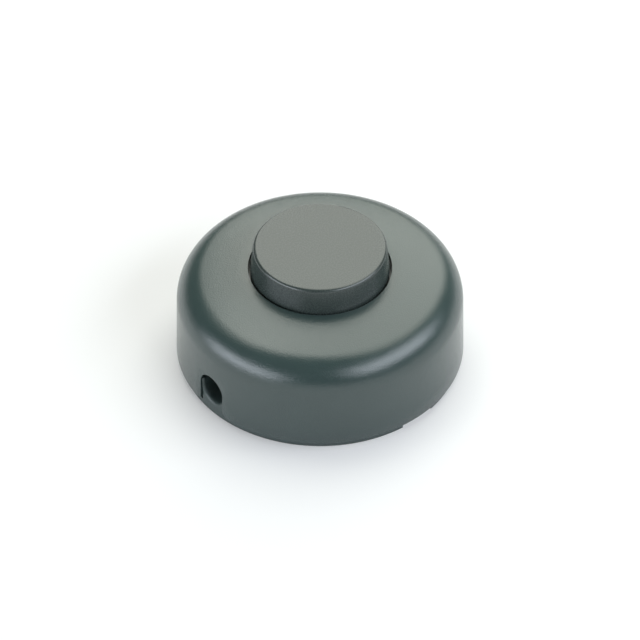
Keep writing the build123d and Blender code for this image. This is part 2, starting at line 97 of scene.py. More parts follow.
class Field:
    """A number that varies over a surface or a mesh: one output socket that takes part in sums."""

    def __init__(self, graph: "Graph", socket: Socket) -> None:
        """Wraps a socket.

        Args:
            graph: The graph that the socket belongs to.
            socket: The output socket that carries the number.
        """
        self.graph = graph
        self.socket = socket

    def _math(self, operation: str, *values: "Number") -> "Field":
        """Adds one Math node.

        Args:
            operation: The Math node's operation.
            values: The node's operands, in order.

        Returns:
            The node's result.
        """
        node = self.graph.node("ShaderNodeMath", {"operation": operation}, dict(enumerate(values)))
        return Field(self.graph, node.outputs[0])

    def __add__(self, other: "Number") -> "Field":
        """Field plus a number."""
        return self._math("ADD", self, other)

    __radd__ = __add__

    def __sub__(self, other: "Number") -> "Field":
        """Field minus a number."""
        return self._math("SUBTRACT", self, other)

    def __rsub__(self, other: "Number") -> "Field":
        """A number minus the field."""
        return self._math("SUBTRACT", other, self)

    def __mul__(self, other: "Number") -> "Field":
        """Field times a number."""
        return self._math("MULTIPLY", self, other)

    __rmul__ = __mul__

    def __truediv__(self, other: "Number") -> "Field":
        """Field divided by a number."""
        return self._math("DIVIDE", self, other)

    def __rtruediv__(self, other: "Number") -> "Field":
        """A number divided by the field."""
        return self._math("DIVIDE", other, self)

    def __pow__(self, other: "Number") -> "Field":
        """Field to a power."""
        return self._math("POWER", self, other)

    def __gt__(self, other: "Number") -> "Field":
        """One where the field is greater, and nought elsewhere."""
        return self._math("GREATER_THAN", self, other)

    def __lt__(self, other: "Number") -> "Field":
        """One where the field is less, and nought elsewhere."""
        return self._math("LESS_THAN", self, other)

    def sign(self) -> "Field":
        """One or minus one, by the field's sign."""
        return self._math("SIGN", self)

    def absolute(self) -> "Field":
        """The field without its sign."""
        return self._math("ABSOLUTE", self)

    def fraction(self) -> "Field":
        """What is left after the whole numbers are taken off."""
        return self._math("FRACT", self)

    def sine(self) -> "Field":
        """Sine of the field, in radians."""
        return self._math("SINE", self)

    def cosine(self) -> "Field":
        """Cosine of the field, in radians."""
        return self._math("COSINE", self)

    def at_least(self, low: "Number") -> "Field":
        """The field, held at or above a level."""
        return self._math("MAXIMUM", self, low)

    def at_most(self, high: "Number") -> "Field":
        """The field, held at or below a level."""
        return self._math("MINIMUM", self, high)

    def ramp(self, low: float, high: float, start: float = 0.0, end: float = 1.0) -> "Field":
        """Smooth step between two levels of the field.

        Args:
            low: Level at which the step starts.
            high: Level at which it ends.
            start: Result below the step.
            end: Result above the step.

        Returns:
            The stepped field.
        """
        settings = {"interpolation_type": "SMOOTHSTEP"}
        values = {"Value": self, "From Min": low, "From Max": high, "To Min": start, "To Max": end}
        return Field(self.graph, self.graph.node("ShaderNodeMapRange", settings, values).outputs[0])


Number = Field | float


class Graph:
    """A node tree, shader or geometry, to which nodes are added by one method."""

    def __init__(self, tree: bpy.types.NodeTree) -> None:
        """Wraps a node tree, emptied first.

        Args:
            tree: The tree to build in.
        """
        self.tree = tree
        tree.nodes.clear()

    def node(
        self, kind: str, settings: Settings | None = None, sockets: Sockets | None = None
    ) -> bpy.types.Node:
        """Adds a node.

        Args:
            kind: The node's type.
            settings: Its own settings, set before its sockets.
            sockets: Values, fields or output sockets for its inputs, by name or place.

        Returns:
            The new node.
        """
        node = self.tree.nodes.new(kind)
        for name, value in (settings or {}).items():
            setattr(node, name, value)
        for key, value in (sockets or {}).items():
            source = value.socket if isinstance(value, Field) else value
            if isinstance(source, Socket):
                self.tree.links.new(source, node.inputs[key])
            else:
                node.inputs[key].default_value = source
        return node

    def field(
        self,
        kind: str,
        settings: Settings | None = None,
        sockets: Sockets | None = None,
        output: str | int = 0,
    ) -> Field:
        """Adds a node and wraps one of its outputs.

        Args:
            kind: The node's type.
            settings: Its own settings.
            sockets: Values or links for its inputs.
            output: Name or place of the output.

        Returns:
            The output as a field.
        """
        return Field(self, self.node(kind, settings, sockets).outputs[output])

    def rays(self, *kinds: str) -> Field:
        """Tells some kinds of ray from the rest.

        Args:
            kinds: Names of Light Path's outputs.

        Returns:
            A field of one on rays of these kinds, and nought on others.
        """
        outputs = self.node("ShaderNodeLightPath").outputs
        first, *rest = (Field(self, outputs[kind]) for kind in kinds)
        for other in rest:
            first = first.at_least(other)
        return first


class ShaderGraph(Graph):
    """Node tree of one material."""

    def __init__(self, material: bpy.types.Material) -> None:
        """Starts an empty tree that reads Object coordinates.

        Args:
            material: The material whose tree it is.
        """
        material.use_nodes = True
        super().__init__(material.node_tree)
        self.coordinates = self.node("ShaderNodeTexCoord").outputs["Object"]

    def noise(
        self, size: float, detail: float = 2.0, stretch: Stretch = (1, 1, 1), seed: float = 0.0
    ) -> Field:
        """Soft noise of a real grain size.

        Args:
            size: Size of one grain, in metres.
            detail: Octaves of finer noise.
            stretch: Scale along each axis, above 1 for grains that are short along it.
            seed: Shifts the pattern, so that two noises don't line up.

        Returns:
            A field of about 0 to 1 with its middle at 0.5.
        """
        shift = (seed, seed * 0.7, seed * 0.3)
        moved = {"Vector": self.coordinates, "Scale": stretch, "Location": shift}
        place = self.node("ShaderNodeMapping", None, moved).outputs[0]
        sockets = {"Vector": place, "Scale": 1 / size, "Detail": detail, "Roughness": 0.55}
        return self.field("ShaderNodeTexNoise", None, sockets)

    def tint(self, amount: Number, first: Colour, second: Colour) -> Socket:
        """Blend of two colours.

        Args:
            amount: 0 gives the first colour and 1 the second.
            first: Linear colour at 0.
            second: Linear colour at 1.

        Returns:
            The socket that carries the colour.
        """
        # A Mix node keeps its colours at inputs 6 and 7 and at output 2.
        sockets = {0: amount, 6: (*first, 1.0), 7: (*second, 1.0)}
        return self.node("ShaderNodeMix", {"data_type": "RGBA"}, sockets).outputs[2]

    def bump(self, height: Field, depth: float) -> Socket:
        """Normal that follows a height.

        Args:
            height: The height, of about 0 to 1.
            depth: What a height of 1 measures, in metres.

        Returns:
            The socket that carries the normal.
        """
        return self.node("ShaderNodeBump", None, {"Height": height, "Distance": depth}).outputs[0]

    def surface(self, constants: Sockets, varying: Sockets) -> None:
        """Ends the tree in one surface shader.

        Args:
            constants: Values that are the same all over, by socket.
            varying: Fields and colours that change over the surface, by socket.
        """
        shader = self.node("ShaderNodeBsdfPrincipled", None, {**constants, **varying})
        self.node("ShaderNodeOutputMaterial", None, {"Surface": shader.outputs[0]})


def shade(colour: Colour, share: float) -> Colour:
    """Colour times a share, for a lighter or darker one.

    Args:
        colour: The linear colour.
        share: What each channel is multiplied by.

    Returns:
        The new colour.
    """
    return (colour[0] * share, colour[1] * share, colour[2] * share)


class Finish(ABC):
    """A surface finish that makes one material.

    In each finish, a size whose name ends in matt says how much a pattern adds to the roughness,
    and one that ends in gloss how much it takes away.
    """

    name: str

    @abstractmethod
    def paint(self, graph: ShaderGraph) -> None:
        """Builds the finish's nodes.

        Args:
            graph: The empty graph of its material.
        """


@cache
def material_of(finish: Finish) -> bpy.types.Material:
    """Material of a finish, made once.

    Args:
        finish: The finish.

    Returns:
        Its material.
    """
    material = bpy.data.materials.new(finish.name)
    finish.paint(ShaderGraph(material))
    return material


class Grain(Enum):
    """Skin that a mould gives: size of one grain and its height, in metres."""

    SPARK = (0.28 * MM, 0.064 * MM)
    FINE = (0.26 * MM, 0.008 * MM)
    SMOOTH = (0.90 * MM, 0.004 * MM)


@dataclass(frozen=True)
class MouldedPlastic(Finish):
    """Injection-moulded plastic with an eroded or polished skin."""

    name: str
    colour: Colour
    roughness: float
    grain: Grain
    mottle: float = 0.05
    cloud_size: float = 14 * MM
    specular: float = 0.7
    fine_ratio: float = 0.42
    fine_share: float = 0.3
    skin_gloss: float = 0.30
    cloud_matt: float = 0.06

    def paint(self, graph: ShaderGraph) -> None:
        """Mould grain in the relief and the gloss, and faint flow clouds in the colour."""
        size, depth = self.grain.value
        coarse = graph.noise(size, 2.0)
        fine = graph.noise(size * self.fine_ratio, 1.0, seed=3.1)
        skin = coarse * (1 - self.fine_share) + fine * self.fine_share
        clouds = graph.noise(self.cloud_size, 2.0, seed=7.7)
        pits = skin.ramp(0.34, 0.56)
        tone = clouds.ramp(0.3, 0.7) * 0.7 + pits * 0.3
        low, high = shade(self.colour, 1 - self.mottle), shade(self.colour, 1 + self.mottle)
        roughness = self.roughness + (skin - 0.5) * -self.skin_gloss + (clouds - 0.5) * self.cloud_matt
        graph.surface(
            {"Specular IOR Level": self.specular},
            {
                "Base Color": graph.tint(tone, low, high),
                "Roughness": roughness,
                "Normal": graph.bump(skin, depth),
            },
        )


@dataclass(frozen=True)
class TurnedMetal(Finish):
    """Solid metal with fine tool marks, such as a brass terminal."""

    name: str
    colour: Colour
    roughness: float
    mark_size: float = 0.12 * MM
    mark_depth: float = 0.004 * MM
    mark_stretch: Stretch = (1.0, 1.0, 6.0)
    tarnish_size: float = 1.6 * MM
    tarnish_shade: float = 0.78
    mark_matt: float = 0.10
    tarnish_matt: float = 0.10

    def paint(self, graph: ShaderGraph) -> None:
        """Tool marks across one axis, with a slight tarnish in patches."""
        marks = graph.noise(self.mark_size, 2.0, self.mark_stretch)
        tarnish = graph.noise(self.tarnish_size, 3.0, seed=5.3).ramp(0.35, 0.75)
        graph.surface(
            {"Metallic": 1.0},
            {
                "Base Color": graph.tint(tarnish, self.colour, shade(self.colour, self.tarnish_shade)),
                "Roughness": self.roughness + marks * self.mark_matt + tarnish * self.tarnish_matt,
                "Normal": graph.bump(marks, self.mark_depth),
            },
        )


@dataclass(frozen=True)
class ZincPlate(Finish):
    """Bright zinc plate over steel, with a soft cell pattern in its gloss."""

    name: str
    colour: Colour = (0.66, 0.67, 0.66)
    warm: Colour = (0.66, 0.6499, 0.5808)
    roughness: float = 0.24
    cell_size: float = 0.5 * MM
    cell_matt: float = 0.06
    haze_size: float = 0.15 * MM
    haze_depth: float = 0.003 * MM
    haze_matt: float = 0.16

    def paint(self, graph: ShaderGraph) -> None:
        """Cells and a fine haze that break up the reflection."""
        place = {"Vector": graph.coordinates, "Scale": 1 / self.cell_size}
        cells = graph.field("ShaderNodeTexVoronoi", {"feature": "F1"}, place)
        haze = graph.noise(self.haze_size, 2.0, seed=2.2)
        graph.surface(
            {"Metallic": 1.0},
            {
                "Base Color": graph.tint(cells.ramp(0.1, 0.8), self.colour, self.warm),
                "Roughness": self.roughness + haze * self.haze_matt + cells * self.cell_matt,
                "Normal": graph.bump(haze, self.haze_depth),
            },
        )


@dataclass(frozen=True)
class MattRubber(Finish):
    """Black rubber with a dusty bloom."""

    name: str
    colour: Colour = (0.020, 0.020, 0.021)
    bloom: Colour = (0.060, 0.060, 0.060)
    bloom_size: float = 2.2 * MM
    roughness: float = 0.72
    specular: float = 0.35
    sand_size: float = 0.16 * MM
    sand_depth: float = 0.020 * MM
    sand_matt: float = 0.18

    def paint(self, graph: ShaderGraph) -> None:
        """Bloom in soft patches over a fine sandy relief."""
        sand = graph.noise(self.sand_size, 3.0)
        patches = graph.noise(self.bloom_size, 3.0, seed=4.4).ramp(0.40, 0.80)
        graph.surface(
            {"Specular IOR Level": self.specular},
            {
                "Base Color": graph.tint(patches * 0.7 + sand * 0.2, self.colour, self.bloom),
                "Roughness": self.roughness + sand * self.sand_matt,
                "Normal": graph.bump(sand, self.sand_depth),
            },
        )


HOUSING_COLOUR: Colour = (0.038, 0.060, 0.057)

COVER_SKIN = MouldedPlastic("cover_skin", HOUSING_COLOUR, 0.20, Grain.SPARK)
BUTTON_SKIN = MouldedPlastic("button_skin", (0.038, 0.050, 0.046), 0.27, Grain.FINE)
BASE_SKIN = MouldedPlastic("base_skin", shade(HOUSING_COLOUR, 0.92), 0.44, Grain.SPARK)
ACETAL = MouldedPlastic("acetal", (0.70, 0.68, 0.61), 0.34, Grain.SMOOTH, 0.03)
ROTOR_PLASTIC = MouldedPlastic("rotor_plastic", (0.34, 0.022, 0.010), 0.33, Grain.SMOOTH, 0.05)
BRASS = TurnedMetal("brass", (0.74, 0.52, 0.22), 0.20)
BRONZE = TurnedMetal("contact_bronze", (0.76, 0.48, 0.27), 0.22, mark_stretch=(7.0, 7.0, 1.0))
SILVER = TurnedMetal("contact_silver", (0.86, 0.85, 0.82), 0.16, mark_depth=0.002 * MM)
SPRING_WIRE = TurnedMetal("spring_wire", (0.52, 0.52, 0.53), 0.24, 0.05 * MM, 0.002 * MM, (1.0, 1.0, 3.0))
ZINC = ZincPlate("zinc_plate")
RUBBER = MattRubber("foot_rubber")


class Shaper(Graph):
    """Geometry Nodes tree with named inputs that makes a mesh."""

    def __init__(self, name: str) -> None:
        """Starts a tree that takes and gives a geometry.

        Args:
            name: The tree's name.
        """
        super().__init__(bpy.data.node_groups.new(name, "GeometryNodeTree"))
        face = self.tree.interface
        face.new_socket("Geometry", in_out="INPUT", socket_type="NodeSocketGeometry")
        face.new_socket("Geometry", in_out="OUTPUT", socket_type="NodeSocketGeometry")
        self.inputs: dict[str, str] = {}
        self.source = self.node("NodeGroupInput")

    def value(self, name: str, whole: bool = False) -> Field:
        """Adds a named input.

        Args:
            name: The input's name.
            whole: Whether it takes whole numbers only.

        Returns:
            The input as a field.
        """
        kind = "NodeSocketInt" if whole else "NodeSocketFloat"
        socket = self.tree.interface.new_socket(name, in_out="INPUT", socket_type=kind)
        self.inputs[name] = socket.identifier
        return Field(self, self.source.outputs[name])

    def position(self) -> tuple[Field, Field, Field]:
        """The three coordinates of the point at hand."""
        place = self.node("GeometryNodeInputPosition").outputs[0]
        parts = self.node("ShaderNodeSeparateXYZ", None, {0: place}).outputs
        return Field(self, parts[0]), Field(self, parts[1]), Field(self, parts[2])

    def vector(self, x: Number, y: Number, z: Number) -> Socket:
        """Joins three numbers into a vector."""
        return self.node("ShaderNodeCombineXYZ", None, {0: x, 1: y, 2: z}).outputs[0]

    def step(self, kind: str, geometry: Socket, sockets: Sockets) -> Socket:
        """Adds a node that takes a geometry and gives the changed one."""
        return self.node(kind, None, {"Geometry": geometry, **sockets}).outputs[0]

    def join(self, *geometries: Socket) -> Socket:
        """Puts geometries together in one."""
        node = self.node("GeometryNodeJoinGeometry")
        for geometry in geometries:
            self.tree.links.new(geometry, node.inputs[0])
        return node.outputs[0]

    def place(self, geometry: Socket, x: Number, y: Number, z: Number) -> Socket:
        """Puts each point of a geometry at the coordinates given."""
        return self.step("GeometryNodeSetPosition", geometry, {"Position": self.vector(x, y, z)})

    def sheet(self, across: Number, along: Number) -> tuple[Socket, Field, Field]:
        """Flat grid to roll up.

        Args:
            across: Points across it.
            along: Points along it.

        Returns:
            The grid, and how far across and along it each point lies, from 0 to 1.
        """
        sockets = {"Size X": 1.0, "Size Y": 1.0, "Vertices X": across, "Vertices Y": along}
        grid = self.node("GeometryNodeMeshGrid", None, sockets).outputs[0]
        x, y, _ = self.position()
        return grid, x + 0.5, y + 0.5

    def roll(self, grid: Socket, turn: Field, along: Field, radius: Field, height: Field) -> Socket:
        """Rolls a sheet into a closed solid about the Z axis.

        Args:
            grid: The sheet.
            turn: How far round each point goes, from 0 to 1.
            along: How far along the sheet each point lies, from 0 to 1.
            radius: The solid's radius at the point, which shrinks to nothing at both ends.
            height: The solid's height at the point.

        Returns:
            The solid, with its seam and both ends joined.
        """
        angle = turn * math.tau
        closed = radius * (along > END_SHARE) * (along < 1 - END_SHARE)
        rolled = self.place(grid, closed * angle.cosine(), closed * angle.sine(), height)
        return self.step("GeometryNodeMergeByDistance", rolled, {"Distance": JOIN_DISTANCE})

    def box(self, size: Socket, height: Number, turn: Number = 0.0) -> Socket:
        """Box on the Z axis, used as a cutter.

        Args:
            size: Its three sizes.
            height: Level of its middle.
            turn: Turn about Z, in radians.

        Returns:
            The box.
        """
        cube = self.node("GeometryNodeMeshCube", None, {"Size": size}).outputs[0]
        moved = {"Translation": self.vector(0.0, 0.0, height), "Rotation": self.vector(0.0, 0.0, turn)}
        return self.step("GeometryNodeTransform", cube, moved)

    def cut(self, solid: Socket, cutter: Socket) -> Socket:
        """Takes one solid out of another."""
        solids = {0: solid, 1: cutter}
        return self.node("GeometryNodeMeshBoolean", {"operation": "DIFFERENCE"}, solids).outputs[0]

    def finish(self, geometry: Socket, finish: Finish, sharp_from: float) -> None:
        """Ends the tree: smooth shading, real instances, a material and the output.

        Args:
            geometry: What the tree has made.
            finish: The finish that it gets.
            sharp_from: Angle in degrees from which an edge stays sharp.
        """
        real = self.step("GeometryNodeRealizeInstances", geometry, {})
        faces = {"Geometry": real, "Shade Smooth": True}
        smooth = self.node("GeometryNodeSetShadeSmooth", {"domain": "FACE"}, faces).outputs[0]
        sharp = self.field("GeometryNodeInputMeshEdgeAngle") > math.radians(sharp_from)
        edges = {"Geometry": smooth, "Selection": sharp, "Shade Smooth": False}
        shaded = self.node("GeometryNodeSetShadeSmooth", {"domain": "EDGE"}, edges).outputs[0]
        painted = self.step("GeometryNodeSetMaterial", shaded, {"Material": material_of(finish)})
        self.node("NodeGroupOutput", None, {"Geometry": painted})

    def make(
        self, name: str, values: Mapping[str, float | int], points: Sequence[Vector] = ()
    ) -> bpy.types.Object:
        """Runs the tree once and keeps the result as a plain mesh.

        Args:
            name: Name of the piece that it makes.
            values: The tree's inputs, by name.
            points: Loose points that the tree starts from.

        Returns:
            The piece, at the origin.
        """
        piece = new_piece(name, points)
        modifier = piece.modifiers.new(self.tree.name, "NODES")
        modifier.node_group = self.tree
        for key, value in values.items():
            modifier[self.inputs[key]] = value
        view = bpy.context.evaluated_depsgraph_get()
        mesh = bpy.data.meshes.new_from_object(piece.evaluated_get(view))
        piece.modifiers.remove(modifier)
        piece.data = mesh
        return piece


def new_piece(name: str, points: Sequence[Vector] = ()) -> bpy.types.Object:
    """Empty mesh object at the origin, or one that holds loose points.

    Args:
        name: The piece's name.
        points: Places of its loose points.

    Returns:
        The object.
    """
    mesh = bpy.data.meshes.new(name)
    mesh.from_pydata([tuple(p) for p in points], [], [])
    piece = bpy.data.objects.new(name, mesh)
    bpy.context.scene.collection.objects.link(piece)
    return piece


def lathe(
    name: str, outline: Sequence[tuple[float, float]], centre: Vector, finish: Finish
) -> bpy.types.Object:
    """Closed solid turned about an upright axis.

    Args:
        name: The piece's name.
        outline: Radius and height of each point, from the axis at the bottom to the axis at the top.
        centre: Where the axis stands, at the outline's height 0.
        finish: The finish that it gets.

    Returns:
        The piece.
    """
    body = bmesh.new()
    verts = [body.verts.new((r, 0.0, z)) for r, z in outline]
    edges = [body.edges.new(pair) for pair in zip(verts, verts[1:])]
    bmesh.ops.spin(
        body, geom=verts + edges, axis=(0, 0, 1), cent=(0, 0, 0), angle=math.tau, steps=LATHE_STEPS
    )
    bmesh.ops.remove_doubles(body, verts=body.verts, dist=JOIN_DISTANCE)
    bmesh.ops.recalc_face_normals(body, faces=body.faces)
    bmesh.ops.translate(body, verts=body.verts, vec=centre)
    piece = new_piece(name)
    body.to_mesh(piece.data)
    body.free()
    piece.data.shade_smooth()
    piece.data.set_sharp_from_angle(angle=math.radians(SOLID_SHARP_FROM))
    piece.data.materials.append(material_of(finish))
    return piece


def hand_over(piece: bpy.types.Object, body: str, node: str) -> None:
    """Gives a finished piece to the frame.

    Args:
        piece: The piece, in place.
        body: The body that it rides on.
        node: The CAD node that it stands for.
    """
    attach(piece, body)
    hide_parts(node)
    log.info("%s: %d faces, rides on %s", piece.name, len(piece.data.polygons), body)


def screw_shank(tree: Shaper, head_height: Field) -> Socket:
    """Threaded shank that hangs from level 0, with a pointed end.

    Args:
        tree: The screw's tree, which gets the shank's inputs.
        head_height: Height of the head, which the shank's top reaches into.

    Returns:
        The shank.
    """
    radius, length = tree.value("Radius"), tree.value("Length")
    pitch, depth = tree.value("Pitch"), tree.value("Thread Depth")
    grid, turn, along = tree.sheet(THREAD_SIDES + 1, length / pitch * ROWS_PER_PITCH)
    height = (along - 1) * length
    tooth = ((height / pitch + turn).fraction() - 0.5).absolute() * 2
    thread = (radius - tooth * depth).at_most(radius - depth * 2 + height + length)
    overlap = (along > 1 - END_SHARE) * head_height * SHANK_OVERLAP
    return tree.roll(grid, turn, along, thread, height + overlap)


def screw_head(tree: Shaper, head_height: Field) -> Socket:
    """Rounded head that stands on level 0, with a slot or a cross cut into it.

    Args:
        tree: The screw's tree, which gets the head's other inputs.
        head_height: Height of the head.

    Returns:
        The head.
    """
    radius, crossed = tree.value("Head Radius"), tree.value("Crossed", True)
    width, depth, reach = (tree.value(f"Slot {size}") for size in ("Width", "Depth", "Reach"))
    grid, turn, along = tree.sheet(HEAD_SIDES + 1, HEAD_ROWS)
    lean = (along - 0.5) * math.pi
    swell = lean.cosine().absolute() ** HEAD_ROUNDNESS
    lift = lean.sine().sign() * lean.sine().absolute() ** HEAD_ROUNDNESS
    head = tree.roll(grid, turn, along, radius * swell, head_height * (lift + 1) * 0.5)
    bar = tree.vector(reach * 2, width, depth * 2)
    slotted = tree.cut(head, tree.box(bar, head_height))
    both = tree.cut(slotted, tree.box(bar, head_height, math.pi / 2))
    ends = {"Switch": crossed, "False": slotted, "True": both}
    return tree.node("GeometryNodeSwitch", {"input_type": "GEOMETRY"}, ends).outputs[0]


@cache
def screw_tree() -> Shaper:
    """Tree that stands a threaded screw on each loose point, each turned by chance."""
    tree = Shaper("threaded_screw")
    head_height = tree.value("Head Height")
    tilt, seed = tree.value("Tilt"), tree.value("Seed", True)
    screw = tree.join(screw_shank(tree, head_height), screw_head(tree, head_height))
    # A Random Value node keeps a number's limits at inputs 2 and 3 and the result at output 1.
    limits = {2: 0.0, 3: math.pi, "Seed": seed}
    spin = tree.field("FunctionNodeRandomValue", {"data_type": "FLOAT"}, limits, 1)
    angles = tree.node("FunctionNodeEulerToRotation", None, {0: tree.vector(tilt, 0.0, spin)}).outputs[0]
    stand = {"Points": tree.source.outputs["Geometry"], "Instance": screw, "Rotation": angles}
    screws = tree.node("GeometryNodeInstanceOnPoints", None, stand).outputs[0]
    tree.finish(screws, ZINC, SCREW_SHARP_FROM)
    return tree


@cache
def coil_tree() -> Shaper:
    """Tree that winds a compression spring with closed ends, ground flat."""
    tree = Shaper("compression_spring")
    radius, wire, turns = tree.value("Radius"), tree.value("Wire"), tree.value("Turns")
    low, high = tree.value("Low"), tree.value("High")
    winding = {
        "Resolution": COIL_STEPS,
        "Rotations": turns,
        "Start Radius": radius,
        "End Radius": radius,
        "Height": 1.0,
    }
    spiral = tree.node("GeometryNodeCurveSpiral", None, winding).outputs[0]
    x, y, z = tree.position()
    start = low + wire * (0.5 - GROUND_SHARE)
    run = high - low - wire * (1 - 2 * GROUND_SHARE)
    wound = z * turns
    first = wound * wire
    middle = wire + (wound - 1) * (run - wire * 2) / (turns - 2)
    last = run - (turns - wound) * wire
    line = tree.place(spiral, x, y, start + first.at_least(middle).at_most(last))
    round_wire = {"Resolution": WIRE_SIDES, "Radius": wire * 0.5}
    ring = tree.node("GeometryNodeCurvePrimitiveCircle", None, round_wire).outputs[0]
    sweep = {"Curve": line, "Profile Curve": ring, "Fill Caps": True}
    coil = tree.node("GeometryNodeCurveToMesh", None, sweep).outputs[0]
    ground = tree.place(coil, x, y, z.at_least(low).at_most(high))
    tree.finish(ground, SPRING_WIRE, COIL_SHARP_FROM)
    return tree


def dress_node(name: str, finish: Finish, edge: float = 0.0) -> None:
    """Gives a CAD node its finish, and soft edges where it shows.

    Args:
        name: The node's name.
        finish: Its finish.
        edge: Width of the rounded edges, in metres, or 0 for none.
    """
    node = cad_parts[name]
    material = material_of(finish)
    if not node.material_slots:
        node.data.materials.append(material)
    for slot in node.material_slots:
        slot.material = material
    if edge:
        weld = node.modifiers.new("joined", "WELD")
        weld.merge_threshold = WELD_DISTANCE
        bevel = node.modifiers.new("soft_edges", "BEVEL")
        bevel.width = edge
        bevel.segments = SOFT_EDGE_STEPS
        bevel.limit_method = "ANGLE"
        bevel.angle_limit = math.radians(SOLID_SHARP_FROM)
        bevel.harden_normals = True
    log.info("%s: CAD node finished in %s", name, finish.name)


WARM: Colour = (0.98, 1.0, 0.92)
COOL: Colour = (0.86, 0.92, 1.0)


@dataclass(frozen=True)
class Softbox:
    """A rectangular studio lamp aimed at the switch: angles in degrees, sizes in metres."""

    name: str
    azimuth: float
    elevation: float
    distance: float
    width: float
    height: float
    radiance: float
    colour: Colour

    def light(self, camera_azimuth: float, aim: Vector) -> None:
        """Hangs the lamp.

        Args:
            camera_azimuth: The camera's azimuth, from which the lamp's own is counted.
            aim: The point that it faces.
        """
        data = bpy.data.lights.new(self.name, "AREA")
        data.shape = "RECTANGLE"
        data.size, data.size_y = self.width, self.height
        data.color = self.colour
        data.energy = self.radiance * math.pi * self.width * self.height
        lamp = bpy.data.objects.new(self.name, data)
        away = direction(camera_azimuth + self.azimuth, self.elevation)
        lamp.location = aim + away * self.distance
        lamp.rotation_euler = away.to_track_quat("Z", "Y").to_euler()
        lamp.visible_camera = False
        bpy.context.scene.collection.objects.link(lamp)


def direction(azimuth: float, elevation: float) -> Vector:
    """Unit vector from the object to a place round it.

    Args:
        azimuth: Degrees round the object, 0 on the -Y side and 90 on the +X side.
        elevation: Degrees above the floor.

    Returns:
        The vector.
    """
    a, e = math.radians(azimuth), math.radians(elevation)
    return Vector((math.sin(a) * math.cos(e), -math.cos(a) * math.cos(e), math.sin(e)))


@dataclass
class Studio:
    """Pale floor, soft lamps and the camera at the photograph's angle."""

    camera_azimuth: float = -42.4
    camera_elevation: float = 42.69
    camera_distance: float = 0.45
    pivot_height: float = 0.0100
    aim_height: float = 0.0074
    lens: float = 122.37
    sensor: float = 36.0
    clip_range: tuple[float, float] = (0.01, 20.0)
    floor_radius: float = 3.0
    floor_colour: Colour = (0.64, 0.64, 0.64)
    floor_lift: float = 0.25
    fade_start: float = 0.35
    fade_end: float = 1.4
    room_level: float = 0.05
    lamps: tuple[Softbox, ...] = (
        Softbox("back_softbox", 170, 50, 0.75, 0.80, 1.05, 2.8, WARM),
        Softbox("high_card", -132, 62, 0.75, 0.36, 0.30, 1.6, WARM),
        Softbox("right_softbox", 63, 36, 0.70, 0.86, 0.34, 5.0, COOL),
        Softbox("left_softbox", -58, 13, 0.70, 0.76, 0.26, 5.6, COOL),
    )

    @property
    def pivot(self) -> Vector:
        """Point that the lamps face and the camera turns about."""
        return Vector((0, 0, self.pivot_height))

    def build(self) -> None:
        """Makes the floor, the room, the lamps and the camera."""
        for lamp in self.lamps:
            lamp.light(self.camera_azimuth, self.pivot)
        self.build_floor()
        self.build_room()
        self.build_camera()

    def build_floor(self) -> None:
        """Round pale floor that stays white to the camera and keeps the shadow."""
        disc = bmesh.new()
        bmesh.ops.create_circle(disc, cap_ends=True, segments=FLOOR_SIDES, radius=self.floor_radius)
        floor = new_piece("floor")
        disc.to_mesh(floor.data)
        disc.free()
        material = bpy.data.materials.new("floor_paper")
        graph = ShaderGraph(material)
        seen = graph.rays("Is Camera Ray", "Is Glossy Ray", "Is Transmission Ray")
        reach = graph.field("ShaderNodeVectorMath", {"operation": "LENGTH"}, {0: graph.coordinates}, "Value")
        lift = reach.ramp(self.fade_start, self.fade_end, self.floor_lift, 1.0)
        paper = graph.node("ShaderNodeBsdfDiffuse", None, {"Color": (*self.floor_colour, 1.0)}).outputs[0]
        glow = graph.node("ShaderNodeEmission", None, {"Strength": seen * lift}).outputs[0]
        both = graph.node("ShaderNodeAddShader", None, {0: paper, 1: glow}).outputs[0]
        graph.node("ShaderNodeOutputMaterial", None, {"Surface": both})
        floor.data.materials.append(material)

    def build_room(self) -> None:
        """Plain dim room that is white where the camera looks past the floor."""
        world = bpy.data.worlds.new("room")
        bpy.context.scene.world = world
        world.use_nodes = True
        graph = Graph(world.node_tree)
        seen = graph.rays("Is Camera Ray", "Is Transmission Ray")
        level = seen * (1 - self.room_level) + self.room_level
        sky = graph.node("ShaderNodeBackground", None, {"Color": (1, 1, 1, 1), "Strength": level})
        graph.node("ShaderNodeOutputWorld", None, {"Surface": sky.outputs[0]})

    def build_camera(self) -> None:
        """Camera that frames the switch as the photograph does."""
        data = bpy.data.cameras.new("camera")
        data.lens = self.lens
        data.sensor_width = self.sensor
        data.clip_start, data.clip_end = self.clip_range
        camera = bpy.data.objects.new("camera", data)
        back = direction(self.camera_azimuth, self.camera_elevation)
        camera.location = self.pivot + back * self.camera_distance
        look = camera.location - Vector((0, 0, self.aim_height))
        camera.rotation_euler = look.to_track_quat("Z", "Y").to_euler()
        bpy.context.scene.collection.objects.link(camera)
        bpy.context.scene.camera = camera


class Drive(Enum):
    """Recess in a screw's head."""

    SLOT = False
    CROSS = True


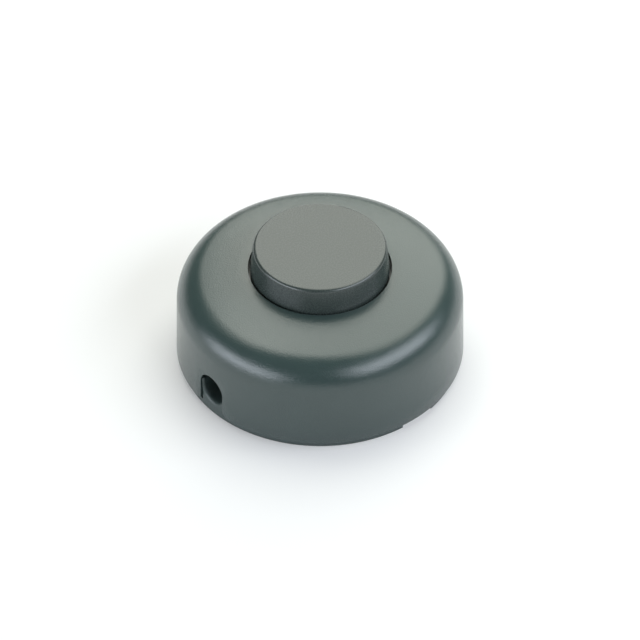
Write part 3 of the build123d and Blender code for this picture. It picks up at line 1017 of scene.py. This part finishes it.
@dataclass(frozen=True)
class Screw:
    """One kind of screw in the switch."""

    radius: float
    length: float
    pitch: float
    head_radius: float
    head_height: float
    slot_depth: float
    slot_reach: float
    drive: Drive = Drive.SLOT
    slot_width: float = 0.7 * MM
    thread_share: float = 0.2
    seed: int = 5

    def stand(self, name: str, node: str, seats: Sequence[Vector], heads_up: bool = True) -> None:
        """Stands one screw on each seat and gives them to the frame as one piece.

        Args:
            name: The piece's name.
            node: The CAD node that it stands for.
            seats: Where each head's underside rests.
            heads_up: Whether the heads are on top.
        """
        values = {
            "Radius": self.radius,
            "Length": self.length,
            "Pitch": self.pitch,
            "Thread Depth": self.pitch * self.thread_share,
            "Head Radius": self.head_radius,
            "Head Height": self.head_height,
            "Slot Width": self.slot_width,
            "Slot Depth": self.slot_depth,
            "Slot Reach": self.slot_reach,
            "Crossed": self.drive.value,
            "Tilt": 0.0 if heads_up else math.pi,
            "Seed": self.seed,
        }
        hand_over(screw_tree().make(name, values, seats), "housing", node)


class Assembly(ABC):
    """Pieces of the switch that go together."""

    @abstractmethod
    def build(self) -> None:
        """Makes the pieces that replace CAD nodes."""

    @abstractmethod
    def dress(self) -> None:
        """Gives the CAD nodes that stay their finishes."""


@dataclass
class Housing(Assembly):
    """Cover, base, rubber feet and the screws driven from below."""

    cover_edge: float = 0.22 * MM
    base_edge: float = 0.10 * MM
    foot_circle: float = 22.5 * MM
    foot_radius: float = 3.0 * MM
    foot_height: float = 1.2 * MM
    foot_round: float = 0.35 * MM
    ring_depth: float = 0.10 * MM
    ring_radii: tuple[float, ...] = (0.8 * MM, 1.45 * MM, 2.1 * MM)
    ring_half_width: float = 0.16 * MM
    round_steps: int = 5
    foot_angles: tuple[float, ...] = (45.0, 135.0, 225.0, 315.0)
    screw_y: float = 23.5 * MM
    screw: Screw = Screw(
        radius=1.5 * MM,
        length=12.0 * MM,
        pitch=1.2 * MM,
        head_radius=2.6 * MM,
        head_height=1.6 * MM,
        slot_depth=1.05 * MM,
        slot_reach=1.55 * MM,
        drive=Drive.CROSS,
        thread_share=0.22,
    )

    def foot_outline(self) -> list[tuple[float, float]]:
        """Half section of a foot, from the middle of its sole to the middle of its top."""
        outline = [(0.0, 0.0)]
        for radius in self.ring_radii:
            outline += [
                (radius - self.ring_half_width, 0.0),
                (radius, self.ring_depth),
                (radius + self.ring_half_width, 0.0),
            ]
        for i in range(self.round_steps + 1):
            lean = math.radians(90 * i / self.round_steps)
            out = self.foot_radius - self.foot_round * (1 - math.sin(lean))
            outline.append((out, self.foot_round * (1 - math.cos(lean))))
        return outline + [(self.foot_radius, self.foot_height), (0.0, self.foot_height)]

    def build(self) -> None:
        """Turns the four feet and stands the two case screws."""
        outline = self.foot_outline()
        for number, angle in enumerate(self.foot_angles, start=1):
            turn = math.radians(angle)
            centre = Vector((math.cos(turn), math.sin(turn), 0.0)) * self.foot_circle
            foot = lathe(f"rubber_foot_{number}", outline, centre, RUBBER)
            hand_over(foot, "housing", f"foot_pad_{number}")
        seat_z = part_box("case_screws")[0][2] + self.screw.head_height
        seats = [Vector((0.0, side * self.screw_y, seat_z)) for side in (1, -1)]
        self.screw.stand("case_screw_pair", "case_screws", seats, heads_up=False)

    def dress(self) -> None:
        """Finishes the cover and the base."""
        dress_node("cover", COVER_SKIN, self.cover_edge)
        dress_node("base", BASE_SKIN, self.base_edge)


@dataclass
class PushButton(Assembly):
    """Button, its plunger and the return spring under it."""

    coil_radius: float = 2.8 * MM
    wire: float = 0.5 * MM
    turns: float = 9.0
    travel: float = 3.5 * MM

    def build(self) -> None:
        """Winds the return spring."""
        low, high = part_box("return_spring")
        sizes = {"Radius": self.coil_radius, "Wire": self.wire, "Turns": self.turns}
        coil = coil_tree().make("return_coil", {**sizes, "Low": low[2], "High": high[2]})
        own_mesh(coil)
        hand_over(coil, "housing", "return_spring")

    def dress(self) -> None:
        """Finishes the button, its plunger and the spring's washer."""
        dress_node("button", BUTTON_SKIN)
        dress_node("pawl_carrier", ACETAL)
        dress_node("spring_washer", ZINC)


@dataclass
class ContactWheel(Assembly):
    """Ratchet wheel with the contact star riveted under it."""

    def build(self) -> None:
        """Leaves the CAD's solids as they are."""

    def dress(self) -> None:
        """Finishes the wheel, the star and the rivets."""
        dress_node("rotor", ROTOR_PLASTIC)
        dress_node("contact_star", BRONZE)
        dress_node("star_rivets", BRASS)


@dataclass
class Wiring(Assembly):
    """Terminals, contact springs and cord clamps."""

    terminal_radius: float = 15.7 * MM
    terminal_angle: float = 157.5
    through_y: float = 15.5 * MM
    through_half_pitch: float = 3.5 * MM
    clamp_screw_y: float = 5.9 * MM
    terminal_screw: Screw = Screw(
        radius=1.45 * MM,
        length=3.6 * MM,
        pitch=0.5 * MM,
        head_radius=2.3 * MM,
        head_height=1.6 * MM,
        slot_depth=0.7 * MM,
        slot_reach=2.4 * MM,
    )
    clamp_screw: Screw = Screw(
        radius=1.25 * MM,
        length=6.5 * MM,
        pitch=1.0 * MM,
        head_radius=2.1 * MM,
        head_height=1.5 * MM,
        slot_depth=0.7 * MM,
        slot_reach=2.2 * MM,
        seed=9,
    )

    def build(self) -> None:
        """Stands the screws of the terminals and of the cord clamps."""
        turn = math.radians(self.terminal_angle)
        across = Vector((math.cos(turn), math.sin(turn), 0.0)) * self.terminal_radius
        live = Vector((0.0, 0.0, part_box("terminal_in")[1][2]))
        through = Vector((0.0, self.through_y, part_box("neutral_terminal")[1][2]))
        aside = Vector((self.through_half_pitch, 0.0, 0.0))
        seats = [live + across, live - across, through + aside, through - aside]
        self.terminal_screw.stand("terminal_screw_set", "terminal_screws", seats)
        seats = []
        for node in ("cord_clamp_in", "cord_clamp_out"):
            low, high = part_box(node)
            middle = (low[0] + high[0]) / 2
            seats += [Vector((middle, side * self.clamp_screw_y, high[2])) for side in (1, -1)]
        self.clamp_screw.stand("clamp_screw_set", "clamp_screws", seats)

    def dress(self) -> None:
        """Finishes the terminals, contacts and clamps, one at each end of the cord's line."""
        dress_node("neutral_terminal", BRASS)
        dress_node("contact_tips", SILVER)
        for side in ("in", "out"):
            dress_node(f"terminal_{side}", BRASS)
            dress_node(f"contact_spring_{side}", BRONZE)
            dress_node(f"cord_clamp_{side}", ACETAL)


def main() -> None:
    """Builds and dresses the switch, then sets up the studio."""
    logging.basicConfig(level=logging.INFO, format="%(name)s: %(message)s")
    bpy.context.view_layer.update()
    for assembly in (Housing(), PushButton(), ContactWheel(), Wiring()):
        assembly.build()
        assembly.dress()
    Studio().build()
    bpy.context.scene.view_settings.view_transform = "Standard"


if __name__ == "__main__":
    main()
